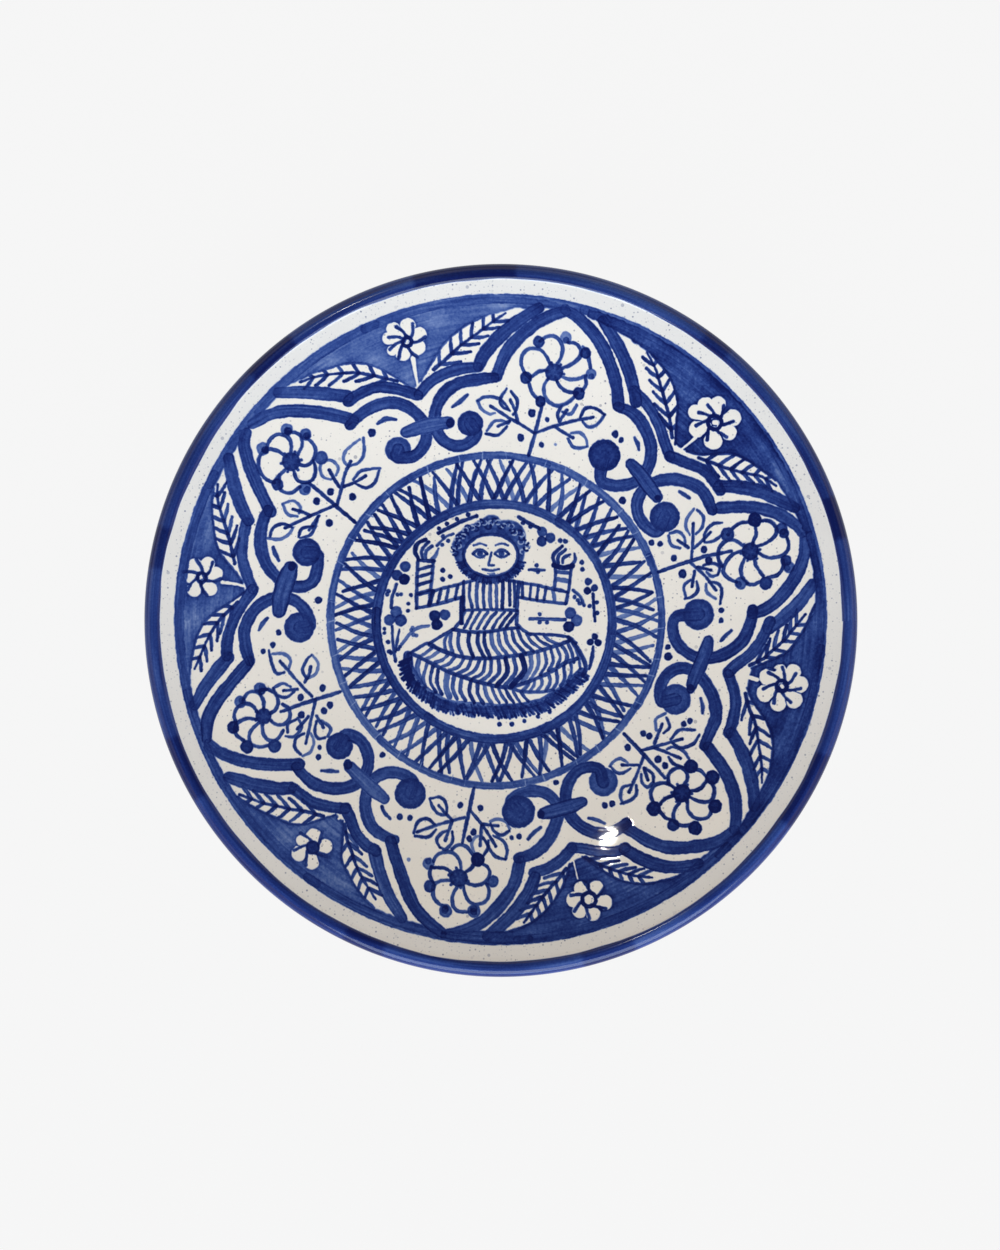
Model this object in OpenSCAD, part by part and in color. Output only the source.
// Hand painted ceramic plate: a thrown and trimmed dish on a foot ring, white glaze on the face and
// the back, and cobalt painting in six pointed lobes round a lattice ring and a seated figure.

/* [Dish] */
// Outer diameter of the dish over its painted lip
plate_d = 300; // [280:1:320]
// Radius of the spherical bowl, measured on the glazed face
bowl_r = 400; // [380:5:440]
// Height of the flat floor of the dish above the table
floor_z = 14; // [13:0.5:18]
// Radius of the flat floor
floor_r = 50; // [49:0.5:52]
// Thickness of the wall with its glaze
wall_t = 6.6; // [6:0.1:6.8]
// Radius of the rolled lip
lip_r = 3.8; // [3.6:0.1:4.2]

/* [Foot] */
// Outer radius of the foot ring
foot_r = 74; // [70:0.5:80]
// Width of the foot ring
foot_w = 8; // [6:0.5:10]
// Bevel on the two lower edges of the foot ring
foot_bevel = 0.8; // [0.4:0.1:1.5]
// Height of the flat underside within the foot ring
well_z = 7; // [6:0.5:8]

/* [Glaze and paint] */
// Thickness of the white glaze
glaze_t = 0.6; // [0.4:0.1:0.8]
// Height of the cobalt paint over the glaze
paint_t = 0.3; // [0.3:0.05:0.4]
// Width of the broad painted bands
band_w = 5; // [4.5:0.1:5.5]
// White line left between a lobe's band and the field outside it
gap_w = 2.2; // [1.8:0.1:2.6]
// Width of the fine brush lines
line_w = 1.3; // [1.1:0.1:1.5]

/* [Pattern] */
// Outer radius of the painted pattern
pattern_r = 136.5; // [135:0.5:138]
// Width of the line that closes the pattern
border_w = 2.6; // [2:0.1:3]
// Outer radius of the lattice ring
lattice_r = 70; // [69.5:0.5:71]
// Width of the lattice ring's outer line
lattice_line_w = 2.8; // [2.4:0.1:3.2]
// Width of the lattice ring's inner line
medallion_line_w = 3.2; // [2.8:0.1:3.4]
// Lattice strokes leaning each way
lattice_strokes = 52; // [40:1:60]
// Turn of a lattice stroke between its two ends, in degrees
lattice_lean = 7; // [5:0.5:9]

/* [Hidden] */
// Lobe tips and the notches between them, in degrees, as the painter's hand spaced them
TIPS = [78, 142, 202, 260, 318, 376];
NOTCHES = [110, 173, 230, 288, 347, 404];
// Turn from each tip to the cusp before it and to the cusp after it
CUSP_BACK = [17, 15, 12, 16, 16, 14];
CUSP_AHEAD = [15, 13, 14, 14, 11, 12];
CUSP_R = 102;
TIP_R = 133;
LOBES = [0 : 5];
// Tilt of each lobe's flower, in degrees
FLOWER_TURN = [5, 0, 9, -6, 20, 30];

REPEATED = ["spandrel", "arch_band", "chain_link", "flower_sprig"];

// Where the lip rides on the bowl, the seams of the layers, and how finely curves are cut
bowl_z = floor_z + sqrt(bowl_r * bowl_r - floor_r * floor_r);
bead = 0.3;
wall_tuck = 0.5;
coat_split = 2;
line_gap = 0.3;
sliver = 0.1;
link_w = 6.4;
lip_x = plate_d / 2 - paint_t - lip_r;
lip_reach = bowl_r + lip_r - bead;
lip_z = bowl_z - sqrt(lip_reach * lip_reach - lip_x * lip_x);
rim_band_r = lip_x - 0.6 * lip_r;
lattice_inner_r = floor_r + medallion_line_w - 1;
foot_top = well_z + 5;
top_z = lip_z + 3 * lip_r;
outer_edge = plate_d / 2 + 1;
round_fn = 180;
stroke_fn = 8;
petal_fn = 16;
curve_steps = 4;
leaf_steps = 3;
cobalt = [0.17, 0.26, 0.56];
deep_cobalt = [0.11, 0.17, 0.42];
pale_cobalt = [0.27, 0.36, 0.62];
white_glaze = [0.93, 0.92, 0.89];
buff_clay = [0.78, 0.66, 0.52];

// ---- Points and curves -------------------------------------------------------------------------

// A point of the plate from its place beside (u, clockwise) and along (v, outwards) a radius
function at(angle, p) = [
    p.x * sin(angle) + p.y * cos(angle),
    -p.x * cos(angle) + p.y * sin(angle)
];
function flip(side, p) = [side * p.x, p.y];
function polar(r, angle) = [r * cos(angle), r * sin(angle)];
// A smooth curve through hand-placed points
function blend4(a, b, c, d, t) =
    0.5 * (2 * b + (c - a) * t + (2 * a - 5 * b + 4 * c - d) * t * t
           + (3 * b - a - 3 * c + d) * t * t * t);
function curve(p, n = curve_steps) = let (last = len(p) - 1) concat(
    [for (i = [0 : last - 1], k = [0 : n - 1])
        blend4(p[max(i - 1, 0)], p[i], p[i + 1], p[min(i + 2, last)], k / n)],
    [p[last]]
);
function unit(v) = v / norm(v);
function heading(p, i) = unit(p[min(i + 1, len(p) - 1)] - p[max(i - 1, 0)]);
function beside(p, i, d) = let (h = heading(p, i)) p[i] + d * [-h.y, h.x];
function reversed(p) = [for (i = [len(p) - 1 : -1 : 0]) p[i]];

// ---- Brush work --------------------------------------------------------------------------------

// A brush stroke of even width with round ends, along a path
module stroke(path, w = line_w) {
    core = w * 0.15;
    offset(r = w / 2 - core, $fn = stroke_fn)
        polygon(concat(
            [for (i = [0 : len(path) - 1]) beside(path, i, core)],
            reversed([for (i = [0 : len(path) - 1]) beside(path, i, -core)])
        ));
}

module dot(p, r) translate(p) circle(r = r, $fn = stroke_fn);

// The thin layer that the paint fills over the glazed bowl
module bowl_layer() translate([0, 0, bowl_z]) difference() {
    sphere(r = bowl_r, $fn = round_fn);
    sphere(r = bowl_r - paint_t, $fn = round_fn);
}

// Painted on the curved wall: the outline becomes a thin layer on the glazed bowl
module on_bowl() intersection() {
    bowl_layer();
    linear_extrude(top_z) children();
}

// Painted on the flat floor
module on_floor() translate([0, 0, floor_z]) linear_extrude(paint_t) children();

// One flat outline from several overlapping strokes, rid of thin gaps and slivers
module joined() offset(delta = sliver) offset(delta = -2 * sliver) offset(delta = sliver) children();

// ---- Clay and glaze ----------------------------------------------------------------------------

// Half profile of what lies below the face, sunk by d
module below_face(d) {
    difference() {
        square([lip_x - wall_tuck, top_z]);
        intersection() {
            translate([0, bowl_z]) circle(r = bowl_r + d, $fn = round_fn);
            translate([-1, floor_z - d]) square([plate_d, plate_d]);
        }
    }
}

// Half profile of the dish's wall with its lip, sunk by d below both its faces
module wall_profile(d) {
    intersection() {
        below_face(d);
        translate([0, bowl_z]) circle(r = bowl_r + wall_t - d, $fn = round_fn);
        translate([0, well_z + d]) square([plate_d, plate_d]);
    }
    translate([lip_x, lip_z]) circle(r = lip_r - d, $fn = round_fn);
}

module foot_profile() {
    polygon([
        [foot_r - foot_w + foot_bevel, 0],
        [foot_r - foot_bevel, 0],
        [foot_r, foot_bevel],
        [foot_r, foot_top],
        [foot_r - foot_w, foot_top],
        [foot_r - foot_w, foot_bevel]
    ]);
}

module clay_body() color(buff_clay) rotate_extrude($fn = round_fn) {
    wall_profile(glaze_t);
    foot_profile();
}

// The glaze coat: the dish's outline less the clay
module glaze_profile() {
    difference() {
        wall_profile(0);
        wall_profile(glaze_t);
        foot_profile();
    }
}

// Half profile of everything on the face's side of the wall, up to the lip's outermost line
module face_side() {
    intersection() {
        translate([0, bowl_z]) circle(r = bowl_r + coat_split, $fn = round_fn);
        square([lip_x, top_z]);
    }
    translate([lip_x - 1, lip_z]) square([outer_edge - lip_x, top_z - lip_z]);
}

module face_glaze() color(white_glaze) rotate_extrude($fn = round_fn) intersection() {
    glaze_profile();
    face_side();
}

module back_glaze() color(white_glaze) rotate_extrude($fn = round_fn) difference() {
    glaze_profile();
    face_side();
    square([foot_r - foot_w / 2, top_z]);
}

module foot_well_glaze() color(white_glaze) rotate_extrude($fn = round_fn) intersection() {
    difference() {
        glaze_profile();
        face_side();
    }
    square([foot_r - foot_w / 2, top_z]);
}

// The cobalt band lies on the lip, from the face over the crest to its underside
module rim_band() color(cobalt) rotate_extrude($fn = round_fn) difference() {
    translate([lip_x, lip_z]) circle(r = lip_r + paint_t, $fn = round_fn);
    wall_profile(0);
    square([lip_x, lip_z]);
    square([rim_band_r, top_z]);
}

// ---- Rings -------------------------------------------------------------------------------------

module ring(outer, width) difference() {
    circle(r = outer, $fn = round_fn);
    circle(r = outer - width, $fn = round_fn);
}

module border_line() color(deep_cobalt) on_bowl() ring(pattern_r, border_w);
module lattice_outer_line() color(pale_cobalt) on_bowl() ring(lattice_r, lattice_line_w);
module lattice_inner_line() color(cobalt) on_bowl() ring(lattice_inner_r, medallion_line_w);

// Slanted strokes leaning both ways leave diamonds of white between them
module lattice_hatching() color(deep_cobalt) on_bowl() joined()
    for (i = [0 : lattice_strokes - 1], lean = [-lattice_lean, lattice_lean]) {
        turn = 360 * (i + 0.5 * (lean > 0 ? 1 : 0)) / lattice_strokes;
        from = polar(lattice_inner_r + line_gap, turn);
        to = polar(lattice_r - lattice_line_w - line_gap, turn + lean);
        across = line_w / 2 * [-unit(to - from).y, unit(to - from).x];
        polygon([from - across, to - across, to + across, from + across]);
    }

// ---- Lobes -------------------------------------------------------------------------------------

// Angle of the notch that a lobe shares with its neighbour, behind (side -1) or ahead (side 1)
function notch(i, side) = side > 0 ? NOTCHES[i] : (i > 0 ? NOTCHES[i - 1] : NOTCHES[5] - 360);
function cusp_angle(i, side) = TIPS[i] + (side > 0 ? CUSP_AHEAD[i] : -CUSP_BACK[i]);

// The side of the pointed arch, from the tip down to the cusp. Ahead is to the left of the tip.
function flank(i, side) = let (k = abs(CUSP_R * sin(cusp_angle(i, side) - TIPS[i])) / 26) concat(
    [for (p = [[0, TIP_R], [9.5, 128], [18, 119], [23.5, 110]]) at(TIPS[i], [-side * k * p.x, p.y])],
    [polar(CUSP_R, cusp_angle(i, side))]
);

// The small outward scallop from the cusp to the waist, where the two neighbours meet
function scallop(i, side) = let (k = abs(CUSP_R * sin(cusp_angle(i, side) - notch(i, side))) / 28)
    concat(
        [polar(CUSP_R, cusp_angle(i, side))],
        [for (p = [[25, 101], [18, 101.5], [11.5, 99], [6.5, 94.5]])
            at(notch(i, side), [side * k * p.x, p.y])]
    );

// The hook that curls inwards from the waist to its round end
HOOK = [[3.3, 88.5], [3.2, 82.5], [5.5, 77.8], [10.5, 75.8], [15, 78]];
HOOK_END = [15.3, 82.2];
HOOK_END_R = 4.8;
function hook(i, side) = concat(
    scallop(i, side),
    [for (p = HOOK) at(notch(i, side), [side * p.x, p.y])]
);

// The white field inside a lobe with its band, widened by d
module lobe_field(i, d) offset(r = d, $fn = stroke_fn) polygon(concat(
    curve(reversed(scallop(i, -1))),
    curve(reversed(flank(i, -1))),
    curve(flank(i, 1)),
    curve(scallop(i, 1)),
    [polar(CUSP_R - 15, NOTCHES[i]), [0, 0]]
));

module link_shape(i) stroke([at(NOTCHES[i], [-6.5, 88.4]), at(NOTCHES[i], [6.5, 86.6])], link_w);

module chain_link(i) color(cobalt) on_bowl() joined() link_shape(i);

module arch_band(i) color(cobalt) on_bowl() joined() difference() {
    for (side = [-1, 1]) {
        stroke(curve(flank(i, side)), band_w);
        stroke(curve(hook(i, side)), band_w);
        translate(at(notch(i, side), [side * HOOK_END.x, HOOK_END.y]))
            circle(r = HOOK_END_R, $fn = petal_fn);
    }
    offset(r = line_gap, $fn = stroke_fn) {
        link_shape(i);
        link_shape((i + 5) % 6);
    }
    difference() {
        circle(r = plate_d, $fn = round_fn);
        circle(r = pattern_r - border_w - line_gap, $fn = round_fn);
    }
}

// ---- Spandrels ---------------------------------------------------------------------------------

// A long leaf that leans along the lobe's band, drawn to the right of the notch
LEAF = [[3.5, 105.5], [12, 114], [21, 119.5], [31, 123], [44, 122.5], [36, 114], [26, 108], [13, 104]];
MIDRIB = [[5.5, 108.5], [14, 112.5], [23, 117], [33, 121]];
VEINS = 5;

module leaf(angle, side) difference() {
    polygon(curve([for (p = concat(LEAF, [LEAF[0]])) at(angle, flip(side, p))]));
    stroke([for (p = MIDRIB) at(angle, flip(side, p))], line_w * 0.8);
    for (k = [1 : VEINS]) {
        root = [7 + 4.6 * k, 108.2 + 2.2 * k];
        stroke([at(angle, flip(side, root)), at(angle, flip(side, root + [1.5, 6]))], line_w * 0.7);
        stroke([at(angle, flip(side, root)), at(angle, flip(side, root + [6.5, -4]))], line_w * 0.7);
    }
}

PINWHEEL = [1.5, 124.5];
PINWHEEL_STEM = [[0.3, 104], [1, 110], [1.2, 117]];
PINWHEEL_PETALS = 6;
PINWHEEL_PETAL_R = 2.7;
PINWHEEL_RING_R = 6.2;
PINWHEEL_TURN = 20;
module pinwheel(center) {
    for (k = [0 : PINWHEEL_PETALS - 1])
        translate(center + polar(PINWHEEL_RING_R, 360 * k / PINWHEEL_PETALS + PINWHEEL_TURN))
            circle(r = PINWHEEL_PETAL_R, $fn = petal_fn);
    dot(center, PINWHEEL_PETAL_R * 0.4);
}

// The cobalt field between two lobes, with its leaves and flower left white
module spandrel(i) color(cobalt) on_bowl() difference() {
    joined() difference() {
        polygon(concat([polar(CUSP_R - 8, NOTCHES[i])],
            [for (k = [0 : 24]) polar(
                pattern_r - border_w, TIPS[i] + (next_tip(i) - TIPS[i]) * k / 24)]));
        lobe_field(i, band_w / 2 + gap_w);
        lobe_field((i + 1) % 6, band_w / 2 + gap_w);
        difference() {
            union() {
                leaf(NOTCHES[i], 1);
                leaf(NOTCHES[i], -1);
            }
            lobe_field(i, 1.5 * band_w + gap_w);
            lobe_field((i + 1) % 6, 1.5 * band_w + gap_w);
        }
        pinwheel(at(NOTCHES[i], PINWHEEL));
        stroke([for (p = PINWHEEL_STEM) at(NOTCHES[i], p)], line_w);
    }
}
function next_tip(i) = i < 5 ? TIPS[i + 1] : TIPS[0] + 360;

// ---- Flowers in the lobes ----------------------------------------------------------------------

BLOOM = [-1, 109];
BLOOM_PETALS = 8;
BLOOM_EYE_R = 3.6;
PETAL_R = 4.5;
PETAL_RING_R = 6.6;
BLOOM_BEADS = 6;
BEAD_R = 2;
BEAD_RING_R = 12;
// Turn of the first bead past the first petal, in degrees
BEAD_START = -0.5;
SPRIG_LEAVES = [
    // where each leaf springs from, its length and the way it points, clockwise from outwards
    [[-7.5, 86], 10, -8], [[-11, 85], 14, -62], [[-10, 82], 11, -100],
    [[5.5, 86], 10, 8], [[9, 88], 14, 62], [[7, 84.5], 12, 112]
];
SPRIG_DOTS = [[-6, 77], [2.5, 77], [-5.5, 88.5], [2, 88.5]];
SPRIG_DOT_R = 1.1;
// Half the width of a leaf across its belly
LEAF_HALF_W = 2.7;

module outlined(path) stroke(concat(path, [path[1]]), line_w * 0.8);

module sprig_leaf(angle, leaf) {
    dir = [sin(leaf[2]), cos(leaf[2])];
    across = [dir.y, -dir.x];
    base = leaf[0] + 0.2 * leaf[1] * dir;
    tip = leaf[0] + leaf[1] * dir;
    belly = leaf[0] + 0.55 * leaf[1] * dir;
    half = LEAF_HALF_W * across;
    outlined(curve([for (p = [base, belly + half, tip, belly - half, base]) at(angle, p)], leaf_steps));
    stroke([at(angle, leaf[0]), at(angle, leaf[0] + 0.5 * leaf[1] * dir)], line_w * 0.8);
}

module bloom(center, turn) {
    for (k = [0 : BLOOM_PETALS - 1]) {
        way = turn + 360 * k / BLOOM_PETALS;
        translate(center + polar(PETAL_RING_R, way)) difference() {
            circle(r = PETAL_R, $fn = petal_fn);
            circle(r = PETAL_R - line_w, $fn = petal_fn);
        }
    }
    for (k = [0 : BLOOM_BEADS - 1])
        dot(center + polar(BEAD_RING_R, turn + BEAD_START + 360 * k / BLOOM_PETALS), BEAD_R);
    dot(center, BLOOM_EYE_R);
}

module flower_sprig(i) color(deep_cobalt) on_bowl() joined() {
    bloom(at(TIPS[i], BLOOM), TIPS[i] + FLOWER_TURN[i]);
    stroke([for (p = [[-1.5, 98], [-2, 86], [-2.5, lattice_r + 1.2]]) at(TIPS[i], p)], line_w);
    stroke([for (p = [[-2.5, 81.5], [-7.5, 84], [-12, 86.5]]) at(TIPS[i], p)], line_w * 0.8);
    stroke([for (p = [[-2.2, 82.5], [4, 85.5], [11, 88.5]]) at(TIPS[i], p)], line_w * 0.8);
    for (leaf = SPRIG_LEAVES) sprig_leaf(TIPS[i], leaf);
    for (p = SPRIG_DOTS) dot(at(TIPS[i], p), SPRIG_DOT_R);
}

// ---- Seated figure -----------------------------------------------------------------------------

FACE_CENTER = [-5, 28];
FACE_R = 9.6;
HEAD = [
    [-5, 44], [1, 42.5], [8, 40.5], [10, 33], [8.5, 25], [3.5, 18.5],
    [-4.5, 15.8], [-13, 17.5], [-18.5, 24], [-20.5, 32], [-17, 38.5], [-10.5, 41.5], [-5, 44]
];
// The face is a plain oval: eyes at half its height, then the nose and the mouth by equal thirds
EYE_X = 4.3;
EYE_Z = 0.8;
NOSE_LEN = 3.6;
MOUTH_DROP = 5.2;
MOUTH_W = 3;

module eye(center) {
    lid = [center + [-2.1, 0], center + [0, 1.1], center + [2.1, 0], center + [0, -1.1]];
    stroke(curve(concat(lid, [lid[0]])), line_w * 0.6);
    dot(center, 0.75);
}

module figure_head() color(cobalt) on_floor() joined() {
    difference() {
        polygon(curve(HEAD));
        translate(FACE_CENTER) scale([1.2, 1]) circle(r = FACE_R, $fn = 32);
    }
    for (side = [-1, 1]) eye(FACE_CENTER + [side * EYE_X, EYE_Z]);
    stroke(curve([FACE_CENTER + [0.4, EYE_Z], FACE_CENTER + [-0.7, EYE_Z - NOSE_LEN],
        FACE_CENTER + [0.9, EYE_Z - NOSE_LEN]]), line_w * 0.7);
    stroke(curve([FACE_CENTER + [-MOUTH_W, -MOUTH_DROP], FACE_CENTER + [0, -MOUTH_DROP - 0.5],
        FACE_CENTER + [MOUTH_W, -MOUTH_DROP]]), line_w * 0.7);
}

// A closed outline drawn with the brush
module drawn(path) stroke(concat(path, [path[0]]), line_w * 0.9);
// Short strokes laid in a row from one line to another
module stripes(from_a, from_b, to_a, to_b, count) for (k = [1 : count])
    stroke([
        from_a + (from_b - from_a) * k / (count + 1),
        to_a + (to_b - to_a) * k / (count + 1)
    ], line_w * 0.75);

// Each arm: the sleeve from shoulder to elbow, the raised forearm and a hand with four fingers
LEFT_SLEEVE = [[-15.5, 16], [-29, 12], [-35.5, 5.2], [-16.5, 9.6]];
LEFT_FOREARM = [[-35.3, 6], [-35.2, 24.5], [-28.5, 24.5], [-29.2, 11.5]];
RIGHT_SLEEVE = [[7.5, 16.3], [22, 13], [27.2, 7], [8, 9.7]];
RIGHT_FOREARM = [[27, 8], [29.5, 23], [23, 23], [22, 13]];
LEFT_WRIST = [-32, 25.5];
RIGHT_WRIST = [26, 23.5];
// Where the fingers spring from, across the wrist
FINGERS = [-3.4, -1, 1.2, 3.8];

module hand(wrist) {
    stroke(curve([wrist + [-3, 0], wrist + [0, 0.8], wrist + [3, -0.2]]), line_w);
    for (k = [0 : len(FINGERS) - 1]) {
        reach = FINGERS[k];
        stroke(curve([
            wrist + [reach * 0.7, 0.5],
            wrist + [reach * 1.2, 4],
            wrist + [reach * 1.1 + 1.6, 7.6 - 0.9 * k]
        ]), line_w);
    }
}

module figure_arms() color(cobalt) on_floor() joined() {
    drawn(LEFT_SLEEVE);
    drawn(LEFT_FOREARM);
    drawn(RIGHT_SLEEVE);
    drawn(RIGHT_FOREARM);
    stripes(LEFT_SLEEVE[0], LEFT_SLEEVE[1], LEFT_SLEEVE[3], LEFT_FOREARM[0], 4);
    stripes(LEFT_FOREARM[0], LEFT_FOREARM[1], LEFT_FOREARM[3], LEFT_FOREARM[2], 5);
    stripes(RIGHT_SLEEVE[0], RIGHT_SLEEVE[1], RIGHT_SLEEVE[3], RIGHT_SLEEVE[2], 4);
    stripes(RIGHT_FOREARM[3], RIGHT_FOREARM[2], RIGHT_FOREARM[0], RIGHT_FOREARM[1], 5);
    hand(LEFT_WRIST);
    hand(RIGHT_WRIST);
}

CHEST = [[-15.3, 15.5], [6.8, 15.5], [6.8, 4.2], [-15.3, 4.2]];
BELT = [[-15.3, 3.6], [6.8, 3.6], [6.8, -2.8], [-18.5, -3.6]];

module figure_tunic() color(cobalt) on_floor() joined() {
    drawn(CHEST);
    drawn(BELT);
    stripes(CHEST[0], CHEST[1], CHEST[3], CHEST[2], 8);
    stripes(BELT[0] + [1, 0], BELT[1], BELT[3] + [-1.5, 0], BELT[2] - [3, 0], 8);
}

// The crossed legs under the skirt: four cords of cloth with curved stripes between them
SKIRT_LINES = [
    [[-29, -9], [-20, -4.6], [-6, -5.2], [7, -4], [13, -5.5], [28, -6.5]],
    [[-36, -14], [-29, -9.5], [-20, -14.5], [-5, -16], [12, -14], [28.5, -9]],
    [[-37, -14.5], [-26, -19], [-12, -25], [3, -28.5], [17, -22.5], [31, -16]],
    [[-37, -23], [-29, -31], [-16, -35], [0, -35.5], [14, -34], [30, -25]]
];
SKIRT_STRIPES = [16, 20, 22];

module figure_skirt() color(cobalt) on_floor() joined() {
    for (line = SKIRT_LINES) stroke(curve(line), line_w);
    stroke(curve([[28, -6.5], [33, -12], [35.5, -19], [31, -25]]), line_w);
    for (band = [0 : 2]) {
        upper = curve(SKIRT_LINES[band]);
        lower = curve(SKIRT_LINES[band + 1]);
        for (k = [1 : SKIRT_STRIPES[band]]) {
            t = (k + 0.5) / (SKIRT_STRIPES[band] + 2) * (len(upper) - 1);
            from = upper[floor(t)];
            to = lower[floor(t)];
            middle = (from + to) / 2 + [1.2, 0];
            stroke([from, middle, to], line_w * 0.75);
        }
    }
}

// The shaggy edge of the cushion under the skirt
FRINGE_OUT = [[-39.5, -13], [-40, -24], [-33, -32.5], [-22, -37.5], [-3, -39.5], [14, -38.5],
    [27, -33], [34, -24]];
FRINGE_IN = [[33, -22.5], [26, -30], [14, -35.8], [-2, -37.3], [-18, -36.8], [-29.5, -32.3],
    [-38, -24], [-38.2, -14]];

module cushion_fringe() color(deep_cobalt) on_floor() joined() {
    polygon(concat(curve(FRINGE_OUT), curve(FRINGE_IN)));
}

// ---- Sprigs and dots round the figure ----------------------------------------------------------

BERRIES = [[-40, 20.5], [-44.5, 1.5], [-27, 1.5], [19, 35], [38, 13.5], [30, 0.5], [39.5, -9]];
BERRY_R = [2.2, 2.4, 2.4, 2, 1.7, 2.2, 1.4];
TWIGS = [
    [[-10.5, 43.8], [-17, 41.5], [-26.5, 37]],
    [[7.5, 43], [11.5, 41], [16, 38.5]],
    [[-44.5, 15], [-46, 10], [-46, 5.5]],
    [[-31, -2], [-37, -4], [-41.5, -9.5]],
    [[12.5, 0.6], [20, 0.6], [26, 0.3]],
    [[30.5, 12.5], [33.5, 9.5], [35, 6.5]],
    [[38.8, 10.5], [39.5, 5], [39.5, 0.5]],
    [[38.8, -11.5], [38.5, -15.5], [37.2, -20]],
    [[-42.5, -4], [-43.5, -9], [-44.2, -16]],
    [[11.8, 21.3], [15, 21.2], [18.3, 21.2]]
];
TWIG_BUDS = 3;
BUD_SIDE = 1.4;
BUD_R = 0.8;
DOT_R = 0.9;
DOTS = [
    [-24.3, 21], [-21.3, 18.3], [-24.5, 17.3], [-37.7, 10.6], [-38.9, 7.2], [-39, 4.1],
    [25, 33.5], [27.3, 33.4], [34, 24.2], [34.4, 21.6],
    [-0.6, -43.5], [4.6, -43.5], [9.8, -42.1], [15.5, -40.4], [20.4, -38.3], [-49, -4]
];

module berries(center, r) for (k = [0 : 2]) dot(center + polar(1.1 * r, 90 + 120 * k), r);

module twig(path) {
    stroke(curve(path), line_w);
    for (k = [1 : TWIG_BUDS]) {
        t = k / (TWIG_BUDS + 1);
        on = t < 0.5 ? path[0] + 2 * t * (path[1] - path[0])
            : path[1] + (2 * t - 1) * (path[2] - path[1]);
        aside = beside([path[0], path[2]], 0, k % 2 == 0 ? BUD_SIDE : -BUD_SIDE) - path[0];
        dot(on + aside, BUD_R);
    }
}

module medallion_sprigs() color(deep_cobalt) on_floor() joined() {
    for (k = [0 : len(BERRIES) - 1]) berries(BERRIES[k], BERRY_R[k]);
    for (path = TWIGS) twig(path);
    for (p = DOTS) dot(p, DOT_R);
}

// ---- Nodes -------------------------------------------------------------------------------------

clay_body();
face_glaze();
back_glaze();
foot_well_glaze();
rim_band();
border_line();
for (i = LOBES) {
    spandrel(i);
    arch_band(i);
    chain_link(i);
    flower_sprig(i);
}
lattice_outer_line();
lattice_hatching();
lattice_inner_line();
figure_head();
figure_arms();
figure_tunic();
figure_skirt();
cushion_fringe();
medallion_sprigs();
